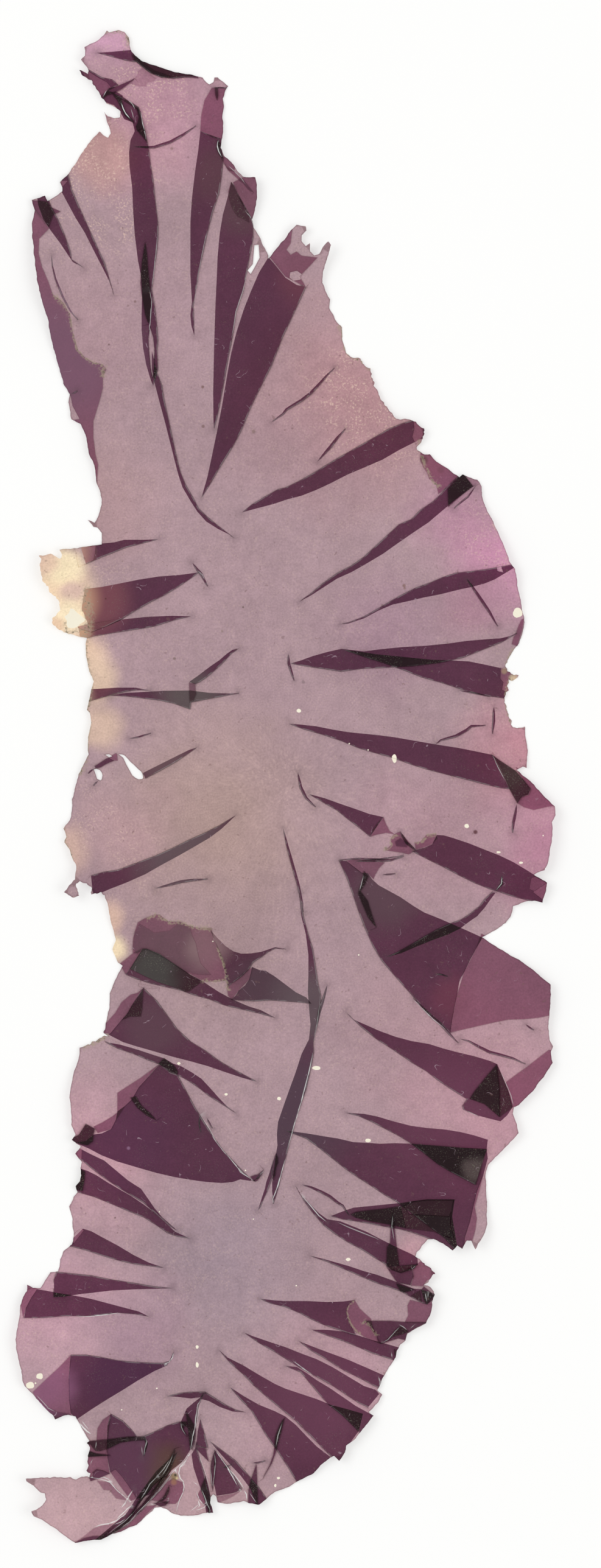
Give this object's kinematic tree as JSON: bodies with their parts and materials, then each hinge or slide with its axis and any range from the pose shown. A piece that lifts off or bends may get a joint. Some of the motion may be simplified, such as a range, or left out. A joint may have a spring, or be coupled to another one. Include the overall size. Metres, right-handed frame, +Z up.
{
  "type": "pyropia abbottiae",
  "caption": "Pressed, dried blade of a red seaweed lying flat: one long thin membrane with a ruffled, torn margin, folded pleats and a small holdfast.",
  "frame": {"origin": "middle of the blade's outline box, in the plane that it lies on", "axes": "+Y along the blade from the holdfast end to the tip, +X to its right side seen from above, +Z up out of the sheet"},
  "size_m": [0.1028, 0.2886, 0.0047],
  "materials": {
    "membrane": "satin"
  },
  "bodies": {
    "root": {"blade": "membrane"}
  },
  "joints": []
}
